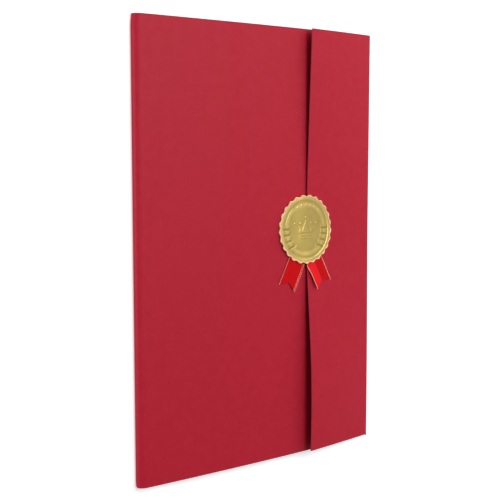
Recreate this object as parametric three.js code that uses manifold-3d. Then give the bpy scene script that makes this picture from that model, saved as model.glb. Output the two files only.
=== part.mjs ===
// A closed tri-fold certificate, lying on its back panel, in millimetres with +Z up.
// X runs across the closed certificate, Y up its height and Z out of its front.
// One sheet of card folds round into front panel, back panel and flap. An embossed seal
// holds the flap's free edge down, and its two ribbon tails lie under it.

import * as THREE from 'three';
import { mergeVertices } from 'three/addons/utils/BufferGeometryUtils.js';
import Module from 'manifold-3d';

const wasm = await Module();
wasm.setup();

// Sizes of the card
const closedWidth = 210;
const closedHeight = 310;
const cardThickness = 0.5;
const spineThickness = 5.8;
const spineRoundWidth = 6.6;
const spineHeelRadius = 1.3;
const flapFoldThickness = 2.8;
const flapWidth = 66.5;
const flapTrim = 1;
const overlap = 10;
const frontBow = 0.9;
const flapBow = 0.4;
const tuckDrop = 0.6;
const tuckSharpness = 8;
const cornerPull = 0.75;
const cornerReachTop = 9;
const cornerReachFoot = 3;

// How far the flap springs off the front panel away from the seal
const restGap = 0.3;
const liftTop = 5;
const liftFoot = 6.2;
const liftFootPeak = 118;
const liftFootPower = 1.3;
const liftSoftness = 15;
const foldSpringShare = 0.16;

// Sizes of the seal, whose centre lies close to the flap's free edge
const sealHeightOnCard = 11;
const sealShift = -1;
const sealRadius = 24.7;
const sealThickness = 0.5;
const sealSlope = 12;
const sealEase = 16;
const sealEaseMargin = 1;
const scallopCount = 25;
const scallopDepth = 0.55;
const scallopTurn = 10.5;
const rimBeadRadius = 21.7;
const rimBeadWidth = 1.4;
const rimBeadRise = 0.25;
const bandOuterRadius = 19.8;
const bandInnerRadius = 15.9;
const bandBeadWidth = 0.7;
const bandBeadRise = 0.2;
const reliefRise = 0.3;
const reliefRoot = 0.25;

// Sizes of the relief on the seal
const starCount = 5;
const starPoints = 5;
const starRadius = 1.3;
const starPitch = 13;
const starWaist = 0.45;
const rungLength = 7.6;
const rungWidth = 2.9;
const rungRadius = 18;
const rungAngles = [8, -4.7, -18.5, -34, -50];
const crownWidth = 20;
const crownFootWidth = 12;
const crownPeakHeight = 7.4;
const crownSideHeight = 3;
const crownInnerValley = 4;
const crownOuterValley = 6.4;
const crownValleyHeight = -0.6;
const crownFootHeight = -3;
const crownBandHeights = [-4.4, -6.4];
const crownBandWidth = 1;
const pearlRadius = 0.8;
const pearlGap = 0.5;
const pearlFlatness = 0.5;

// Sizes of the ribbon tails
const ribbonWidth = 16;
const ribbonThickness = 0.4;
const ribbonReach = 45.3;
const ribbonNotch = 4.3;
const ribbonTuckHeight = -13;
const ribbonCentreOffset = -3.45;
const ribbonParting = 0.8;
const leftTailAngle = 27.2;
const rightTailAngle = 26.8;
const leftTailTrim = 0.4;
const rightTailTrim = 1.5;

// How finely each form is divided
const flapSteps = 14;
const foldSteps = 8;
const backSteps = 2;
const heelSteps = 4;
const roundSteps = 7;
const frontSteps = 14;
const endRows = [0, 1.5, 4, 9];
const middleRows = 15;
const sealRings = [4, 8, 12];
const scallopSteps = 4;
const pearlSteps = 8;
const ribbonWidthSteps = 6;
const ribbonLengthSteps = 12;

const halfWidth = closedWidth / 2;
const halfHeight = closedHeight / 2;
const halfCard = cardThickness / 2;
const frontStart = spineRoundWidth - halfWidth;
const flapEdgeAtSeal = halfWidth - flapWidth;
const frontEnd = flapEdgeAtSeal + overlap;
const sealCentre = new THREE.Vector2(flapEdgeAtSeal + sealShift, sealHeightOnCard);
const radians = THREE.MathUtils.degToRad;

// The front panel bows out a little, and tucks down under the flap
function frontHeight(x) {
  const share = (x - frontStart) / (frontEnd - frontStart);
  return spineThickness + 4 * frontBow * share * (1 - share) - tuckDrop * share ** tuckSharpness;
}

// The flap's free edge rests near the seal, and springs up towards both ends
function springAt(y) {
  const away = y - sealHeightOnCard;
  const soft = Math.hypot(away, liftSoftness) - liftSoftness;
  if (away > 0) {
    const reach = Math.hypot(halfHeight - sealHeightOnCard, liftSoftness) - liftSoftness;
    return liftTop * soft / reach;
  }
  return liftFoot * Math.sin(Math.PI / 2 * soft / liftFootPeak) ** liftFootPower;
}

// The middle of the flap's fold and of the straight stretch that leaves it, at one height
function flapLayout(y) {
  const foldRadius = (flapFoldThickness + foldSpringShare * springAt(y)) / 2;
  const bend = foldRadius - halfCard;
  const length = flapWidth - foldRadius;
  const edgeHeight = frontHeight(flapEdgeAtSeal) + restGap + halfCard + springAt(y);
  const tilt = Math.asin((edgeHeight - foldRadius - bend) / length);
  const centre = new THREE.Vector2(halfWidth - foldRadius, foldRadius);
  const root = new THREE.Vector2(Math.sin(tilt), Math.cos(tilt)).multiplyScalar(bend).add(centre);
  const tip = new THREE.Vector2(-Math.cos(tilt), Math.sin(tilt)).multiplyScalar(length).add(root);
  return { centre, bend, tilt, root, tip };
}

function cornerPullAt(y) {
  const top = Math.max(0, 1 - (halfHeight - y) / cornerReachTop);
  const foot = Math.max(0, 1 - (y + halfHeight) / cornerReachFoot);
  return cornerPull * (top ** 2 + foot ** 2);
}

// The middle of the card's thickness, from the flap's free edge round to the tucked edge
function cardSection(y) {
  const { centre, bend, tilt, root, tip } = flapLayout(y);
  const flapSpan = new THREE.Vector2().subVectors(root, tip);
  const control = new THREE.Vector2(-flapSpan.y, flapSpan.x).normalize().multiplyScalar(2 * flapBow);
  control.add(tip).addScaledVector(flapSpan, 0.5);
  const left = cornerPullAt(y) - halfWidth;
  const heel = spineHeelRadius - halfCard;
  const wide = frontStart - left - halfCard;
  const tall = spineThickness - spineHeelRadius - halfCard;
  const heelCentre = left + spineHeelRadius;
  const backStart = new THREE.Vector2(centre.x, halfCard);
  const backEnd = new THREE.Vector2(heelCentre, halfCard);
  const down = -Math.PI / 2;
  const up = Math.PI / 2;
  const pieces = [
    [new THREE.QuadraticBezierCurve(tip, control, root), flapSteps],
    [new THREE.EllipseCurve(centre.x, centre.y, bend, bend, up - tilt, down, true), foldSteps],
    [new THREE.LineCurve(backStart, backEnd), backSteps],
    [new THREE.EllipseCurve(heelCentre, spineHeelRadius, heel, heel, down, -Math.PI, true), heelSteps],
    [new THREE.EllipseCurve(frontStart, spineHeelRadius, wide, tall, Math.PI, up, true), roundSteps],
  ];
  const points = [tip];
  for (const [curve, count] of pieces) {
    points.push(...curve.getPoints(count).slice(1));
  }
  for (let step = 1; step <= frontSteps; step += 1) {
    const x = THREE.MathUtils.lerp(frontStart, frontEnd, step / frontSteps);
    points.push(new THREE.Vector2(x, frontHeight(x) - halfCard));
  }
  return points;
}

// Heights of the card's cross-sections, closer together at both ends
function sectionHeights() {
  const low = endRows.at(-1) - halfHeight;
  const heights = endRows.map((distance) => distance - halfHeight);
  for (let row = 1; row < middleRows; row += 1) {
    heights.push(THREE.MathUtils.lerp(low, -low, row / middleRows));
  }
  heights.push(...endRows.map((distance) => halfHeight - distance).reverse());
  return heights;
}

// A closed sheet from a grid of paired points, one on each face of the sheet
function sheetGeometry(grid) {
  const rows = grid.length;
  const columns = grid[0].length;
  const positions = [];
  for (const row of grid) {
    for (const [outer, inner] of row) {
      positions.push(...outer.toArray(), ...inner.toArray());
    }
  }
  const at = (row, column, face) => 2 * (row * columns + column) + face;
  const index = [];
  const quad = (a, b, c, d) => index.push(a, b, c, a, c, d);
  const end = columns - 1;
  const top = rows - 1;
  for (let row = 0; row < top; row += 1) {
    for (let column = 0; column < end; column += 1) {
      const [r, c] = [row + 1, column + 1];
      quad(at(row, column, 0), at(row, c, 0), at(r, c, 0), at(r, column, 0));
      quad(at(row, column, 1), at(r, column, 1), at(r, c, 1), at(row, c, 1));
    }
    quad(at(row, 0, 0), at(row + 1, 0, 0), at(row + 1, 0, 1), at(row, 0, 1));
    quad(at(row, end, 0), at(row, end, 1), at(row + 1, end, 1), at(row + 1, end, 0));
  }
  for (let column = 0; column < end; column += 1) {
    quad(at(0, column, 0), at(0, column, 1), at(0, column + 1, 1), at(0, column + 1, 0));
    quad(at(top, column, 0), at(top, column + 1, 0), at(top, column + 1, 1), at(top, column, 1));
  }
  const geometry = new THREE.BufferGeometry();
  geometry.setAttribute('position', new THREE.Float32BufferAttribute(positions, 3));
  geometry.setIndex(index);
  return geometry;
}

// The folded card: its cross-sections joined up the height, the flap cut a little short at its foot
function cardGeometry() {
  const grid = sectionHeights().map((y) => {
    const points = cardSection(y);
    const trim = flapTrim * (halfHeight - y) / closedHeight;
    return points.map((point, column) => {
      const before = points[Math.max(0, column - 1)];
      const after = points[Math.min(points.length - 1, column + 1)];
      const along = new THREE.Vector2().subVectors(after, before).normalize().multiplyScalar(halfCard);
      const height = column < flapSteps ? y + trim : y;
      return [
        new THREE.Vector3(point.x - along.y, height, point.y + along.x),
        new THREE.Vector3(point.x + along.y, height, point.y - along.x),
      ];
    });
  });
  return sheetGeometry(grid);
}

// Height of the flap's outer face at one place
function flapHeight(x, y) {
  const { root, tip } = flapLayout(y);
  const share = (root.x - x) / (root.x - tip.x);
  return THREE.MathUtils.lerp(root.y, tip.y, share) + 4 * flapBow * share * (1 - share) + halfCard;
}

// Height of the seal's underside: clear of the ribbons at its foot, and sloping off the flap's edge
function sealSeat(x, y) {
  const easeEnd = ribbonTuckHeight + sealEaseMargin;
  const overRibbon = 1 - THREE.MathUtils.smoothstep(y - sealCentre.y, easeEnd, easeEnd + sealEase);
  const clear = restGap + overRibbon * (ribbonThickness + restGap);
  if (x > flapEdgeAtSeal) {
    return flapHeight(x, y) + clear;
  }
  const step = flapHeight(flapEdgeAtSeal, y) - frontHeight(flapEdgeAtSeal);
  return frontHeight(x) + clear + step * Math.max(0, 1 - (flapEdgeAtSeal - x) / sealSlope);
}

function solidOf(geometry) {
  const bare = geometry.clone();
  bare.deleteAttribute('normal');
  bare.deleteAttribute('uv');
  const merged = mergeVertices(bare);
  const vertProperties = new Float32Array(merged.attributes.position.array);
  const triVerts = new Uint32Array(merged.index.array);
  return new wasm.Manifold(new wasm.Mesh({ numProp: 3, vertProperties, triVerts }));
}

function geometryOf(solid) {
  const { vertProperties, triVerts } = solid.getMesh();
  const geometry = new THREE.BufferGeometry();
  geometry.setAttribute('position', new THREE.BufferAttribute(vertProperties, 3));
  geometry.setIndex(new THREE.BufferAttribute(triVerts, 1));
  return geometry;
}

// The seal's round body, with its beads as rings and its rim scalloped
function sealBody() {
  const points = [new THREE.Vector2(0, 0)];
  const point = (radius, height) => points.push(new THREE.Vector2(radius, height));
  const bead = (radius, width, rise) => {
    point(radius + width / 2, sealThickness);
    point(radius, sealThickness + rise);
    point(radius - width / 2, sealThickness);
  };
  [...sealRings, bandInnerRadius, bandOuterRadius, sealRadius].forEach((radius) => point(radius, 0));
  point(sealRadius, sealThickness);
  bead(rimBeadRadius, rimBeadWidth, rimBeadRise);
  bead(bandOuterRadius, bandBeadWidth, bandBeadRise);
  bead(bandInnerRadius, bandBeadWidth, bandBeadRise);
  [...sealRings].reverse().forEach((radius) => point(radius, sealThickness));
  point(0, sealThickness);
  const body = new THREE.LatheGeometry(points, scallopSteps * scallopCount).rotateX(Math.PI / 2);
  const position = body.attributes.position;
  for (let at = 0; at < position.count; at += 1) {
    const [x, y] = [position.getX(at), position.getY(at)];
    if (Math.hypot(x, y) > rimBeadRadius + rimBeadWidth) {
      const wave = Math.cos(scallopCount * (Math.atan2(y, x) - radians(scallopTurn)));
      const stretch = 1 + scallopDepth * wave / sealRadius;
      position.setXY(at, x * stretch, y * stretch);
    }
  }
  return body;
}

function relief(shape) {
  const depth = reliefRoot + reliefRise;
  const geometry = new THREE.ExtrudeGeometry(shape, { depth, bevelEnabled: false });
  return geometry.translate(0, 0, sealThickness - reliefRoot);
}

function shapeOf(corners) {
  return new THREE.Shape(corners.map(([x, y]) => new THREE.Vector2(x, y)));
}

function bar(length, width) {
  const [x, y] = [length / 2, width / 2];
  return relief(shapeOf([[-x, -y], [x, -y], [x, y], [-x, y]]));
}

// Small stars along the top of the band
function stars() {
  const corners = [];
  for (let corner = 0; corner < 2 * starPoints; corner += 1) {
    const reach = corner % 2 ? starRadius * starWaist : starRadius;
    const angle = Math.PI / 2 + corner * Math.PI / starPoints;
    corners.push([reach * Math.cos(angle), reach * Math.sin(angle)]);
  }
  const star = relief(shapeOf(corners));
  const radius = (bandInnerRadius + bandOuterRadius) / 2;
  const copies = [];
  for (let copy = 0; copy < starCount; copy += 1) {
    const turn = radians((copy - (starCount - 1) / 2) * starPitch);
    copies.push(star.clone().translate(0, radius, 0).rotateZ(-turn));
  }
  return copies;
}

// Rungs across the band, half way between level and radial
function rungs() {
  const copies = [];
  for (const angle of rungAngles) {
    for (const side of [1, -1]) {
      const turn = radians(angle);
      const rung = bar(rungLength, rungWidth).rotateZ(side * turn / 2);
      copies.push(rung.translate(side * rungRadius * Math.cos(turn), rungRadius * Math.sin(turn), 0));
    }
  }
  return copies;
}

// The crown in the middle: five points with pearls, over a base of two bars
function crown() {
  const side = [
    [crownFootWidth / 2, crownFootHeight],
    [crownWidth / 2, crownSideHeight],
    [crownOuterValley, crownValleyHeight],
    [crownWidth / 4, crownSideHeight],
    [crownInnerValley, crownValleyHeight],
  ];
  const peak = [0, crownPeakHeight];
  const otherSide = side.map(([x, height]) => [-x, height]).reverse();
  const outline = [...side, peak, ...otherSide];
  const peaks = outline.filter(([, height]) => height > crownValleyHeight);
  const pearl = new THREE.SphereGeometry(pearlRadius, pearlSteps, pearlSteps).scale(1, 1, pearlFlatness);
  const above = pearlGap + pearlRadius;
  const pearls = peaks.map(([x, height]) => pearl.clone().translate(x, height + above, sealThickness));
  const bands = crownBandHeights.map((height) => bar(crownFootWidth, crownBandWidth).translate(0, height, 0));
  return [relief(shapeOf(outline)), ...pearls, ...bands];
}

// The seal, its relief joined on, bent over the flap's free edge
function sealGeometry() {
  let solid = solidOf(sealBody());
  for (const piece of [...stars(), ...rungs(), ...crown()]) {
    solid = solid.add(solidOf(piece));
  }
  const geometry = geometryOf(solid);
  const position = geometry.attributes.position;
  for (let at = 0; at < position.count; at += 1) {
    const [x, y] = [position.getX(at), position.getY(at)];
    position.setZ(at, position.getZ(at) + sealSeat(sealCentre.x + x, sealCentre.y + y));
  }
  return geometry;
}

// A ribbon tail from under the seal to its notched end, whose inner corner is cut a little short
function tailGeometry(side, degrees, trim, surface) {
  const turn = radians(degrees);
  const [sin, cos] = [Math.sin(turn), Math.cos(turn)];
  const geometry = new THREE.BoxGeometry(1, 1, 1, ribbonWidthSteps, ribbonLengthSteps, 1);
  const position = geometry.attributes.position;
  for (let at = 0; at < position.count; at += 1) {
    const across = side * position.getX(at) * ribbonWidth;
    const outward = across + ribbonCentreOffset;
    const fromParting = (ribbonParting - outward * cos) / sin;
    const fromTuck = (outward * sin - ribbonTuckHeight) / cos;
    const share = 2 * across / ribbonWidth;
    const end = ribbonReach - ribbonNotch * (1 - Math.abs(share)) - trim * Math.max(0, -share);
    const reach = THREE.MathUtils.lerp(end, Math.max(fromParting, fromTuck), position.getY(at) + 0.5);
    const x = side * (reach * sin + outward * cos);
    const y = outward * sin - reach * cos;
    const rise = restGap + ribbonThickness * (position.getZ(at) + 0.5);
    position.setXYZ(at, x, y, surface(sealCentre.x + x, sealCentre.y + y) + rise);
  }
  return geometry;
}

const cardFinish = new THREE.MeshStandardMaterial({ color: 0xb42a40, roughness: 0.5, metalness: 0 });
const foilFinish = new THREE.MeshStandardMaterial({ color: 0xb9a555, roughness: 0.35, metalness: 0.9 });
const satinFinish = new THREE.MeshStandardMaterial({ color: 0xc81a20, roughness: 0.45, metalness: 0 });

function named(name, geometry, material) {
  const mesh = new THREE.Mesh(geometry, material);
  mesh.name = name;
  return mesh;
}

// The award: the seal and its two ribbon tails, placed by the seal's centre
const award = new THREE.Group();
award.position.set(sealCentre.x, sealCentre.y, 0);
award.add(
  named('gold_seal', sealGeometry(), foilFinish),
  named('ribbon_tail_left', tailGeometry(-1, leftTailAngle, leftTailTrim, frontHeight), satinFinish),
  named('ribbon_tail_right', tailGeometry(1, rightTailAngle, rightTailTrim, flapHeight), satinFinish),
);

const certificate = new THREE.Group();
certificate.add(named('folded_card', cardGeometry(), cardFinish), award);

export default certificate;
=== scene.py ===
"""Dresses a closed tri-fold certificate: satin card, an embossed foil seal and ribbon tails.

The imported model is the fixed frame. Lengths are in millimetres until a mesh is made.
X runs across the closed certificate, Y up its height and Z out of its front.
The studio's places and sizes are in metres.
"""

import logging
import math
from dataclasses import dataclass
from enum import Enum

import bpy
import numpy as np
from mathutils import Matrix, Vector


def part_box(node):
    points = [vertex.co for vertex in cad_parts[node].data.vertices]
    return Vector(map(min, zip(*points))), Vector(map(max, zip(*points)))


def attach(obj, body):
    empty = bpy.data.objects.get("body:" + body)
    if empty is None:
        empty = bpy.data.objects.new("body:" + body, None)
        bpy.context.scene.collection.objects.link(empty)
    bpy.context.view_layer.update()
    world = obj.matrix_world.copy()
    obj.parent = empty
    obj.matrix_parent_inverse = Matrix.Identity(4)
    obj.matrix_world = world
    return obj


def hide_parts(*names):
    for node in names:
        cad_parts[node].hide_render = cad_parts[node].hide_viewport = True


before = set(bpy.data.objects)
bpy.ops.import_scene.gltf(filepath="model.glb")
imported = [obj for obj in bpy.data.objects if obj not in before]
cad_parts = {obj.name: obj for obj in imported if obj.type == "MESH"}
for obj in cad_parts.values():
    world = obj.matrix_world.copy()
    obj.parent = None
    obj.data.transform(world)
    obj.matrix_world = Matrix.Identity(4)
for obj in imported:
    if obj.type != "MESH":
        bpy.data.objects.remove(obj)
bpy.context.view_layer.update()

MM = 0.001
ROOT = "root"
FROM_CUT = "from_cut"
FLAT_MAP = "Flat"
# The seal's attribute of painted shade, in its slots, groove and field.
PAINTED_SHADE = "pressed"
# The ribbon's attribute of painted sheen: a lighter red on the part of a tail that slopes up.
PAINTED_SHEEN = "painted_sheen"
# The Mix node's colour sockets go by number, as its other sockets share their names.
MIX_FIRST, MIX_SECOND, MIX_RESULT = 6, 7, 2
log = logging.getLogger("certificate")


class Side(Enum):
    """Which of the two ribbon tails, by the way it leans along X."""

    LEFT = -1
    RIGHT = 1


class Signal:
    """A number in a node tree. Python's operators on it add Math nodes."""

    def __init__(self, graph: "Nodes", socket: bpy.types.NodeSocket) -> None:
        """Wraps an output socket.

        Args:
            graph: the tree, which adds the nodes.
            socket: the output that carries the number.
        """
        self.graph = graph
        self.socket = socket

    def _math(self, operation: str, first: object, second: object) -> "Signal":
        """Adds one Math node.

        Args:
            operation: the Math node's operation.
            first: its first value, a Signal or a number.
            second: its second value, a Signal or a number.

        Returns:
            The node's result.
        """
        node = self.graph.node("ShaderNodeMath", {"operation": operation}, {0: first, 1: second})
        return Signal(self.graph, node.outputs[0])

    def __add__(self, other: object) -> "Signal":
        """Adds."""
        return self._math("ADD", self, other)

    def __radd__(self, other: object) -> "Signal":
        """Adds, with the number first."""
        return self._math("ADD", other, self)

    def __sub__(self, other: object) -> "Signal":
        """Subtracts."""
        return self._math("SUBTRACT", self, other)

    def __rsub__(self, other: object) -> "Signal":
        """Subtracts from a number."""
        return self._math("SUBTRACT", other, self)

    def __mul__(self, other: object) -> "Signal":
        """Multiplies."""
        return self._math("MULTIPLY", self, other)

    def __rmul__(self, other: object) -> "Signal":
        """Multiplies, with the number first."""
        return self._math("MULTIPLY", other, self)

    def ripple(self, pitch: float) -> "Signal":
        """A wave from 0 to 1 that repeats along the number.

        Args:
            pitch: how far apart its crests are, in millimetres.

        Returns:
            The wave.
        """
        turns = self * (2 * math.pi / (pitch * MM))
        return self._math("SINE", turns, 0.0) * 0.5 + 0.5

    def mapped(self, low: float, high: float, out_low: float = 0.0, out_high: float = 1.0) -> "Signal":
        """Maps one range of the number onto another, and clamps it there.

        Args:
            low: the value that becomes out_low.
            high: the value that becomes out_high.
            out_low: the result's first end.
            out_high: the result's other end.

        Returns:
            The mapped number.
        """
        values = {0: self, 1: low, 2: high, 3: out_low, 4: out_high}
        return Signal(self.graph, self.graph.node("ShaderNodeMapRange", {}, values).outputs[0])


class Nodes:
    """A node tree, with a method for any node."""

    def __init__(self, tree: bpy.types.NodeTree) -> None:
        """Wraps a tree.

        Args:
            tree: the tree that the nodes go into.
        """
        self.tree = tree

    def node(self, kind: str, settings: dict, inputs: dict) -> bpy.types.Node:
        """Adds a node.

        Args:
            kind: the node's type.
            settings: its own settings, by attribute name, set before its sockets.
            inputs: values, colours or links by socket name or number.

        Returns:
            The new node.
        """
        made = self.tree.nodes.new(kind)
        for name, value in settings.items():
            setattr(made, name, value)
        for key, value in inputs.items():
            if isinstance(value, Signal):
                value = value.socket
            if isinstance(value, bpy.types.NodeSocket):
                self.tree.links.new(value, made.inputs[key])
            else:
                made.inputs[key].default_value = value
        return made

    def seen(self) -> Signal:
        """Tells the rays that show a surface from those that only light the object.

        Returns:
            1 for a ray from the camera, off a gloss or through something clear, and 0 for others.
        """
        path = self.node("ShaderNodeLightPath", {}, {}).outputs
        kinds = ("Is Camera Ray", "Is Glossy Ray", "Is Transmission Ray")
        camera, gloss, clear = (Signal(self, path[kind]) for kind in kinds)
        return camera + gloss + clear


@dataclass(frozen=True)
class Grain:
    """One noise: its patches' size in millimetres, its finer layers and the span of it that is read."""

    size: float
    detail: float = 2.0
    span: tuple[float, float] = (0.35, 0.65)


class Graph(Nodes):
    """A material and its node tree, with a few common patterns."""

    def __init__(self, name: str) -> None:
        """Makes an empty material.

        Args:
            name: the material's name.
        """
        self.material = bpy.data.materials.new(name)
        self.material.use_nodes = True
        super().__init__(self.material.node_tree)
        self.tree.nodes.clear()
        self.output = self.tree.nodes.new("ShaderNodeOutputMaterial")

    def surface(self, inputs: dict) -> bpy.types.Material:
        """Closes the material with a Principled surface.

        Args:
            inputs: the surface's sockets.

        Returns:
            The finished material.
        """
        shader = self.node("ShaderNodeBsdfPrincipled", {}, inputs)
        self.tree.links.new(shader.outputs[0], self.output.inputs["Surface"])
        return self.material

    def place(self) -> bpy.types.NodeSocket:
        """The point on the piece, in metres."""
        return self.node("ShaderNodeTexCoord", {}, {}).outputs["Object"]

    def attribute(self, name: str) -> Signal:
        """A number that the piece's own vertices carry.

        Args:
            name: the attribute's name.

        Returns:
            The number.
        """
        return Signal(self, self.node("ShaderNodeAttribute", {"attribute_name": name}, {}).outputs["Fac"])

    def axis(self, vector: bpy.types.NodeSocket, number: int) -> Signal:
        """One coordinate of a vector.

        Args:
            vector: the vector.
            number: 0, 1 or 2.

        Returns:
            That coordinate.
        """
        split = self.node("ShaderNodeSeparateXYZ", {}, {0: vector})
        return Signal(self, split.outputs[number])

    def stretched(self, vector: bpy.types.NodeSocket, scale: tuple) -> bpy.types.NodeSocket:
        """A vector scaled along each axis.

        Args:
            vector: the vector.
            scale: the three factors.

        Returns:
            The scaled vector.
        """
        return self.node("ShaderNodeMapping", {}, {"Vector": vector, "Scale": scale}).outputs[0]

    def noise(self, vector: bpy.types.NodeSocket, grain: Grain) -> Signal:
        """Soft random mottling.

        Args:
            vector: where it is read, in metres.
            grain: its sizes.

        Returns:
            A number around 0.5.
        """
        values = {"Vector": vector, "Scale": 1.0 / (grain.size * MM), "Detail": grain.detail}
        return Signal(self, self.node("ShaderNodeTexNoise", {}, values).outputs[0])

    def mix(self, share: object, first: object, second: object) -> bpy.types.NodeSocket:
        """Mixes two colours.

        Args:
            share: how much of the second, a Signal or a number.
            first: a colour or a colour socket.
            second: a colour or a colour socket.

        Returns:
            The mixed colour.
        """
        inputs = {0: share, MIX_FIRST: first, MIX_SECOND: second}
        return self.node("ShaderNodeMix", {"data_type": "RGBA"}, inputs).outputs[MIX_RESULT]

    def bump(self, height: Signal, depth: float) -> bpy.types.NodeSocket:
        """A surface normal from a height.

        Args:
            height: the height, from 0 to 1.
            depth: how deep a height of 1 is, in millimetres.

        Returns:
            The normal.
        """
        return self.node("ShaderNodeBump", {}, {"Height": height, "Distance": depth * MM}).outputs[0]


def linear(red: int, green: int, blue: int) -> tuple[float, float, float, float]:
    """A colour as a surface socket takes it.

    Args:
        red: from 0 to 255, as on a screen.
        green: from 0 to 255.
        blue: from 0 to 255.

    Returns:
        The linear colour, with alpha.
    """
    low, slope, offset, power = 0.04045, 12.92, 0.055, 2.4
    shares = [value / 255 for value in (red, green, blue)]
    return (*[s / slope if s <= low else ((s + offset) / (1 + offset)) ** power for s in shares], 1.0)


@dataclass(frozen=True)
class PearlCard:
    """Deep red satin card: fine fibres, a soft pearl mottle, small flecks, and darker by its cut edges."""

    colour: tuple = linear(180, 29, 50)
    deep: tuple = linear(176, 25, 45)
    fibre: tuple = linear(190, 50, 70)
    fleck: tuple = linear(160, 22, 40)
    burnish: tuple = linear(134, 24, 46)
    mottle_grain: Grain = Grain(7.0, 5.0)
    fibre_grain: Grain = Grain(0.8, 3.0, (0.56, 0.78))
    fleck_grain: Grain = Grain(1.6, 3.0, (0.62, 0.74))
    tooth_grain: Grain = Grain(0.32, 2.0, (0.3, 0.7))
    fibre_stretch: tuple = (1.0, 0.3, 1.0)
    fibre_share: float = 0.45
    fleck_share: float = 0.5
    tooth_share: float = 0.6
    tooth_depth: float = 0.035
    burnish_width: float = 0.55
    roughness: tuple = (0.46, 0.56)
    specular: float = 0.17

    def build(self) -> bpy.types.Material:
        """The card's faces.

        Returns:
            The material.
        """
        graph = Graph("satin_card")
        place = graph.place()
        mottle = graph.noise(place, self.mottle_grain).mapped(*self.mottle_grain.span)
        fibres = graph.noise(graph.stretched(place, self.fibre_stretch), self.fibre_grain)
        flecks = graph.noise(place, self.fleck_grain).mapped(*self.fleck_grain.span, 0.0, self.fleck_share)
        tooth = graph.noise(place, self.tooth_grain)
        body = graph.mix(mottle, self.deep, self.colour)
        body = graph.mix(fibres.mapped(*self.fibre_grain.span, 0.0, self.fibre_share), body, self.fibre)
        body = graph.mix(flecks, body, self.fleck)
        inside = graph.attribute(FROM_CUT).mapped(0.0, self.burnish_width)
        height = tooth * self.tooth_share + fibres * (1 - self.tooth_share)
        return graph.surface({
            "Base Color": graph.mix(1 - inside, body, self.burnish),
            "Roughness": tooth.mapped(*self.tooth_grain.span, *self.roughness),
            "Specular IOR Level": self.specular,
            "Normal": graph.bump(height, self.tooth_depth),
        })


@dataclass(frozen=True)
class CutCard:
    """The card's cut edges: pressed layers, darker than its faces."""

    colour: tuple = linear(146, 44, 64)
    layer: tuple = linear(172, 70, 90)
    layer_grain: Grain = Grain(0.6, 3.0, (0.4, 0.6))
    layer_stretch: tuple = (1.0, 1.0, 6.0)
    layer_depth: float = 0.06
    roughness: float = 0.75
    specular: float = 0.2

    def build(self) -> bpy.types.Material:
        """The card's cut edges.

        Returns:
            The material.
        """
        graph = Graph("cut_card_edge")
        layers = graph.noise(graph.stretched(graph.place(), self.layer_stretch), self.layer_grain)
        return graph.surface({
            "Base Color": graph.mix(layers.mapped(*self.layer_grain.span), self.colour, self.layer),
            "Roughness": self.roughness,
            "Specular IOR Level": self.specular,
            "Normal": graph.bump(layers, self.layer_depth),
        })


@dataclass(frozen=True)
class GoldFoil:
    """Pressed gold foil under a lacquer: satin metal with a fine peel, and painted shade where the design is
    pressed in.
    """

    colour: tuple = linear(178, 156, 84)
    deep: tuple = linear(171, 148, 76)
    # Painted shade: the darker colour for the pressed-in slots, groove and field.
    shaded: tuple = linear(120, 100, 24)
    patch_grain: Grain = Grain(6.0, 3.0)
    peel_grain: Grain = Grain(0.45, 2.0, (0.3, 0.7))
    peel_depth: float = 0.02
    roughness: tuple = (0.37, 0.5)
    lacquer: float = 0.7
    lacquer_roughness: float = 0.16

    def build(self) -> bpy.types.Material:
        """The seal's face.

        Returns:
            The material.
        """
        graph = Graph("gold_foil")
        place = graph.place()
        patches = graph.noise(place, self.patch_grain).mapped(*self.patch_grain.span)
        peel = graph.noise(place, self.peel_grain)
        flat = graph.mix(patches, self.deep, self.colour)
        return graph.surface({
            # Painted shade: the darker colour is mixed in by the seal's attribute.
            "Base Color": graph.mix(graph.attribute(PAINTED_SHADE), flat, self.shaded),
            "Metallic": 1.0,
            "Roughness": peel.mapped(*self.peel_grain.span, *self.roughness),
            "Coat Weight": self.lacquer,
            "Coat Roughness": self.lacquer_roughness,
            "Normal": graph.bump(peel, self.peel_depth),
        })


@dataclass(frozen=True)
class SealRim:
    """The seal's cut rim, where foil turns over pale card."""

    colour: tuple = linear(250, 212, 165)
    shade: tuple = linear(232, 180, 132)
    grain: Grain = Grain(0.8)
    grain_depth: float = 0.03
    metallic: float = 0.1
    roughness: float = 0.42

    def build(self) -> bpy.types.Material:
        """The seal's rim and back.

        Returns:
            The material.
        """
        graph = Graph("seal_rim")
        grain = graph.noise(graph.place(), self.grain)
        return graph.surface({
            "Base Color": graph.mix(grain.mapped(*self.grain.span), self.shade, self.colour),
            "Metallic": self.metallic,
            "Roughness": self.roughness,
            "Normal": graph.bump(grain, self.grain_depth),
        })


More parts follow.
